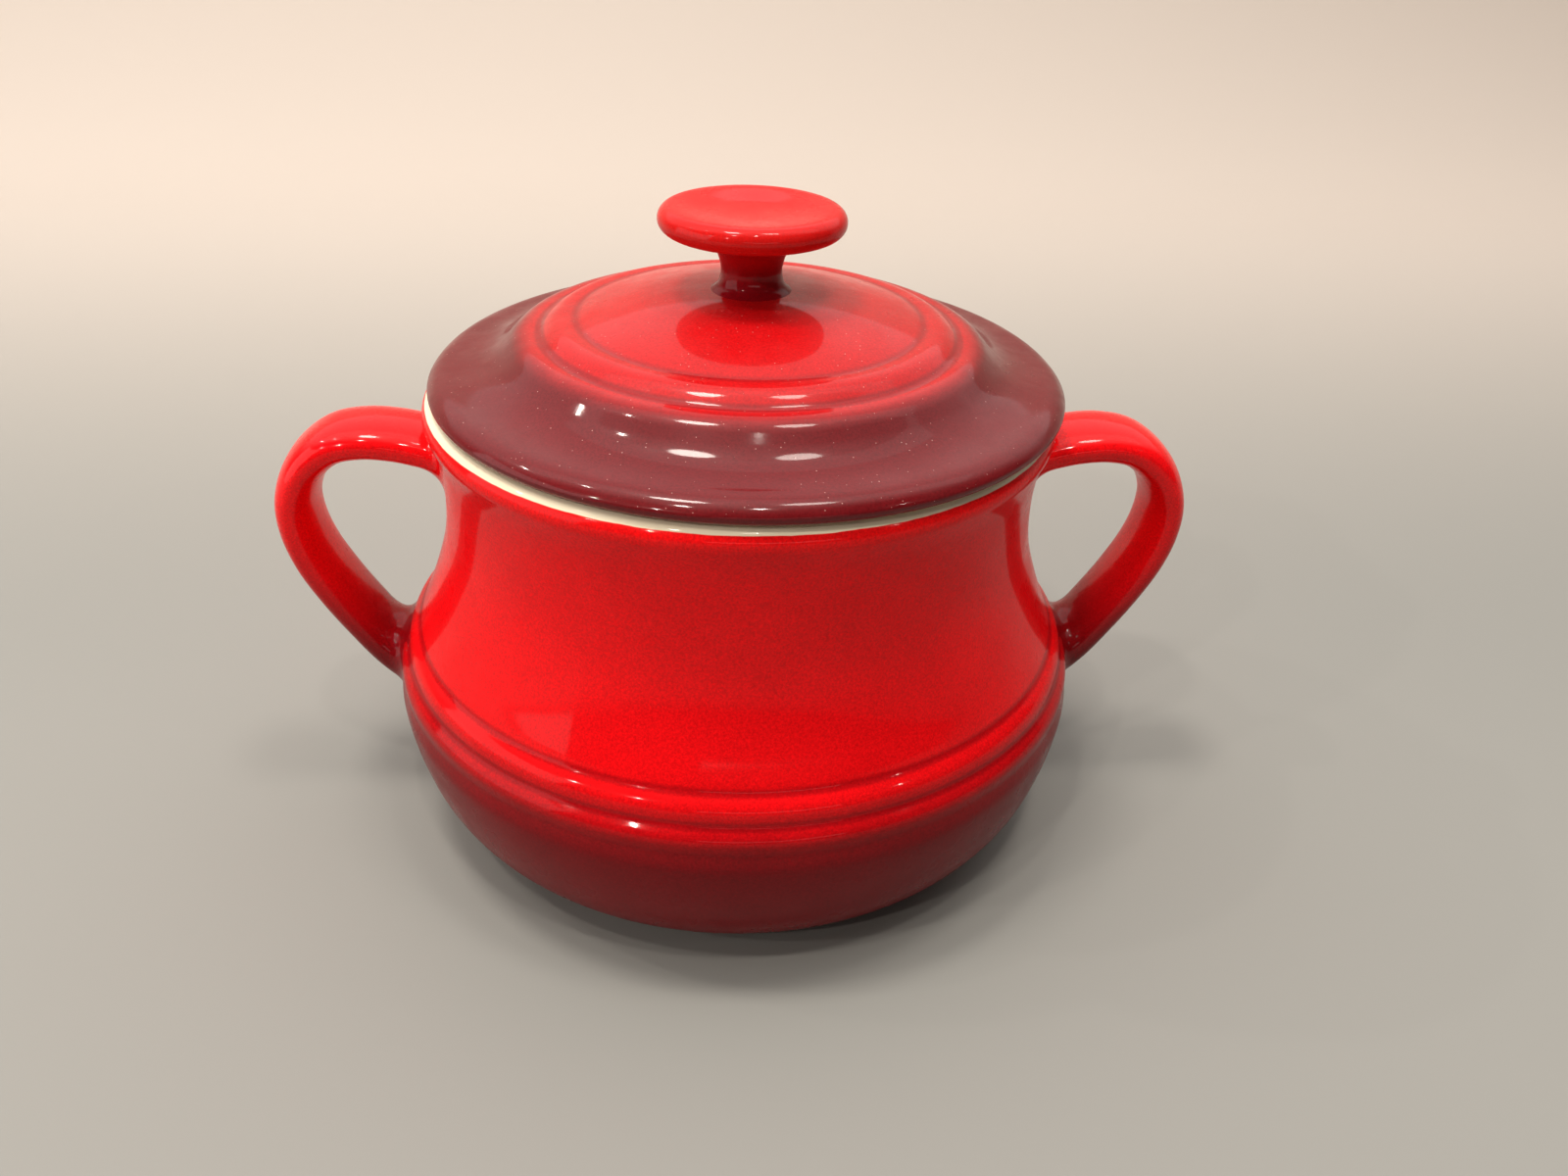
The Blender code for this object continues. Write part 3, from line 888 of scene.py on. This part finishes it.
def stage():
    """Pale floor that curves up into a paler wall behind the pot."""
    depth, height, bend, half = 0.62, 0.60, 0.35, 2.6
    line = [(-2.4, 0.0), (depth, 0.0)]
    line += [(depth + bend * math.sin(a), bend * (1 - math.cos(a)))
             for a in (math.radians(90 * i / 16) for i in range(1, 17))]
    line.append((depth + bend, height))
    vertices = [(x, y, z) for y, z in line for x in (-half, half)]
    faces = [(2 * i, 2 * i + 1, 2 * i + 3, 2 * i + 2) for i in range(len(line) - 1)]
    mesh = bpy.data.meshes.new("pale_sweep")
    mesh.from_pydata(vertices, [], faces)
    mesh.shade_smooth()
    sweep = bpy.data.objects.new("pale_sweep", mesh)
    bpy.context.scene.collection.objects.link(sweep)
    material = bpy.data.materials.new("pale_sweep")
    material.use_nodes = True
    tree = material.node_tree
    shader = tree.nodes["Principled BSDF"]
    parts = add_node(tree, "ShaderNodeSeparateXYZ")
    link(tree, add_node(tree, "ShaderNodeTexCoord").outputs["Object"], parts.inputs[0])
    rise = ramp(tree, parts.outputs["Y"], 0.05, 0.75)
    link(tree, mixed(tree, rise, FLOOR, WALL), shader.inputs["Base Color"])
    shader.inputs["Roughness"].default_value = 0.50
    shader.inputs["Specular IOR Level"].default_value = 0.15
    mesh.materials.append(material)


def room():
    """A dim room in front, and a ceiling that is bright overhead and behind. The eye sees a pale backdrop."""
    world = bpy.data.worlds.new("room")
    world.use_nodes = True
    tree = world.node_tree
    parts = add_node(tree, "ShaderNodeSeparateXYZ")
    link(tree, add_node(tree, "ShaderNodeTexCoord").outputs["Generated"], parts.inputs[0])
    back_and_up = calc(tree, "ADD", calc(tree, "MULTIPLY", parts.outputs["Z"], 0.8),
                       calc(tree, "MULTIPLY", parts.outputs["Y"], 0.6))
    lit = mixed(tree, ramp(tree, back_and_up, 0.40, 0.70), ROOM, CEILING)
    seen = add_node(tree, "ShaderNodeLightPath").outputs["Is Camera Ray"]
    link(tree, mixed(tree, seen, lit, BACKDROP), tree.nodes["Background"].inputs[0])
    bpy.context.scene.world = world


def lights():
    room()
    soft_box("left_window", (-1.30, -0.25, 0.42), (0.0, 0.0, 0.10), (1.20, 0.80), 1.6, (1.0, 0.95, 0.92))
    soft_box("right_window", (1.35, 0.55, 0.40), (0.0, 0.0, 0.10), (0.40, 0.8), 0.20, (1.0, 0.97, 0.92))
    soft_box("wall_wash", (0.0, 0.25, 1.10), (0.0, 0.95, 0.05), (2.0, 0.60), 0.65, (1.0, 0.96, 0.92))
    soft_box("front_strip", (0.24, -1.66, 0.37), (0.0, 0.0, 0.10), (1.30, 0.16), 1.6, (1.0, 0.94, 0.90))
    for i, (azimuth, elevation, radius, brightness) in enumerate(LAMPS):
        turn, rise = math.radians(azimuth), math.radians(elevation)
        level = LAMP_DISTANCE * math.cos(rise)
        down_light(f"lamp_{i + 1}", (level * math.sin(turn), -level * math.cos(turn),
                                     0.1 + LAMP_DISTANCE * math.sin(rise)), radius, brightness)


def camera():
    """The eye stands a little above the lid, in front and slightly to the left."""
    pitch, roll, heading = math.radians(31.09), math.radians(2.397), math.radians(5.07)
    eye = Vector((-0.0144, -0.3074, 0.2446))
    ahead = Vector((math.sin(heading) * math.cos(pitch), math.cos(heading) * math.cos(pitch),
                    -math.sin(pitch)))
    level = Vector((math.cos(heading), -math.sin(heading), 0.0))
    up = level.cross(ahead)
    right = math.cos(roll) * level + math.sin(roll) * up
    up = math.cos(roll) * up - math.sin(roll) * level
    data = bpy.data.cameras.new("camera")
    data.lens = 29.25
    data.sensor_width = 36.0
    data.clip_start = 0.01
    data.clip_end = 20.0
    seen = bpy.data.objects.new("camera", data)
    seen.matrix_world = Matrix.Translation(eye) @ Matrix((right, up, -ahead)).transposed().to_4x4()
    bpy.context.scene.collection.objects.link(seen)
    bpy.context.scene.camera = seen


# ---------------------------------------------------------------- the object

def build():
    for name, maker in (("glaze_edge", glaze_edge_effect), ("ombre", ombre_effect),
                        ("glaze_colour", glaze_colour_effect), ("specks", specks_effect),
                        ("glaze_skin", glaze_skin_effect)):
        EFFECTS[name] = maker()
    lid_axis = (LID_AXIS, 0.0, 0.0)
    pot_glaze = glaze_material("pot_glaze", RED, DEEP_RED, POT_FADES, 3.0)
    handle_glaze = glaze_material("handle_glaze", RED, DEEP_RED, HANDLE_FADES, 3.0, part_glazed=False,
                                  gloss=0.45)
    # the lid's bright red is the pot's red drawn darker, as painted shade
    lid_glaze = glaze_material("lid_glaze", LID_RED_WITH_PAINTED_SHADE, LID_MAROON, LID_FADES, 1.8, "radius", lid_axis,
                               specks=0.8, roughness=0.36, under_gloss=0.09, gloss=0.42)
    # the knob's bright red is the pot's red drawn darker, as painted shade
    knob_glaze = glaze_material("knob_glaze", KNOB_RED_WITH_PAINTED_SHADE, KNOB_FOOT, KNOB_FADES, 2.0, centre=lid_axis,
                                mottle=0.12, part_glazed=False, gloss=0.34)

    tree = turned_tree(MASKS)
    line, masks = pot_line()
    pot = turned("glazed_pot", tree, line, masks, pot_glaze, TURN_STEPS, seed=3.1)
    line, masks = lid_line()
    lid = turned("glazed_lid", tree, line, masks, lid_glaze, TURN_STEPS, axis=LID_AXIS, seed=7.4)
    line, masks = knob_line()
    knob = turned("glazed_knob", tree, line, masks, knob_glaze, KNOB_STEPS, axis=LID_AXIS,
                  wave=(0.05, 20.0), seed=1.7)
    wall = Wall()
    right = handle_piece("glazed_right_handle", 1, wall, handle_glaze)
    left = handle_piece("glazed_left_handle", -1, wall, handle_glaze)

    for piece, body, node, slot in ((pot, "pot", "pot_body", "red_glaze"),
                                    (left, "pot", "left_handle", "red_glaze"),
                                    (right, "pot", "right_handle", "red_glaze"),
                                    (lid, "lid", "lid", "dark_red_glaze"),
                                    (knob, "lid", "lid_knob", "red_glaze")):
        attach(piece, body)
        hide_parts(node)
        print(piece.name, len(piece.data.polygons), "faces")


camera()
stage()
lights()
build()
bpy.context.scene.view_settings.view_transform = "Standard"
